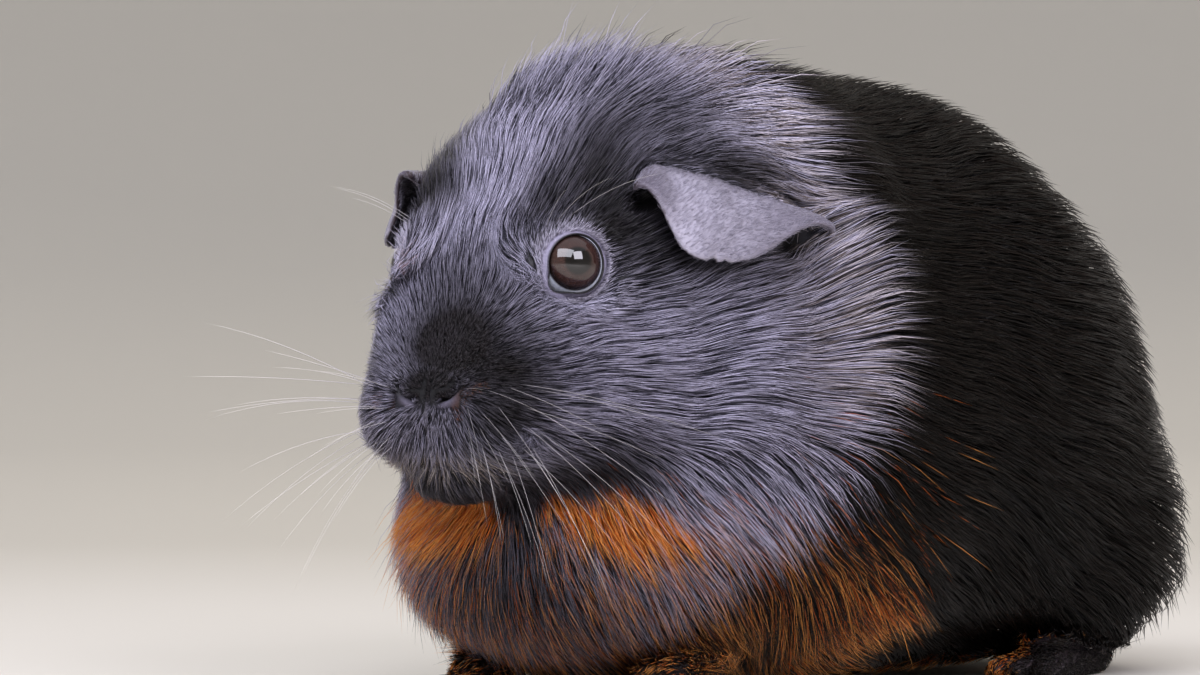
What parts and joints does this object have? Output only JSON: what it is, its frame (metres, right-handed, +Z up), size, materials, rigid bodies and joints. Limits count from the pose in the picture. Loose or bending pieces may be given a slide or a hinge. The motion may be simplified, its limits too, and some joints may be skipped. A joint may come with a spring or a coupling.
{
  "type": "guinea pig",
  "caption": "Life-size still model of a smooth-coated black and tan guinea pig, sitting with its head drawn back and its body low over its feet.",
  "frame": {"origin": "on the floor, under the middle of the animal's length and width", "axes": "+Z up, -Y the way the animal faces, +X towards its left side"},
  "size_m": [0.1128, 0.2392, 0.1228],
  "materials": {
    "coat": "short glossy black hair with tan patches",
    "ear": "thin grey-brown skin, nearly bare, satin",
    "foot": "dark grey skin, matte",
    "eye": "dark brown, wet gloss",
    "claw": "dark horn, satin"
  },
  "bodies": {
    "root": {"head": "coat", "lower_jaw": "coat", "neck": "coat", "trunk": "coat", "left_ear": "ear", "left_eye": "eye", "left_foreleg": "coat", "left_forefoot": "foot", "left_forefoot_claw_1": "claw", "left_forefoot_claw_2": "claw", "left_forefoot_claw_3": "claw", "left_forefoot_claw_4": "claw", "left_thigh": "coat", "left_hindfoot": "foot", "left_hindfoot_claw_1": "claw", "left_hindfoot_claw_2": "claw", "left_hindfoot_claw_3": "claw", "right_ear": "ear", "right_eye": "eye", "right_foreleg": "coat", "right_forefoot": "foot", "right_forefoot_claw_1": "claw", "right_forefoot_claw_2": "claw", "right_forefoot_claw_3": "claw", "right_forefoot_claw_4": "claw", "right_thigh": "coat", "right_hindfoot": "foot", "right_hindfoot_claw_1": "claw", "right_hindfoot_claw_2": "claw", "right_hindfoot_claw_3": "claw"}
  },
  "joints": []
}
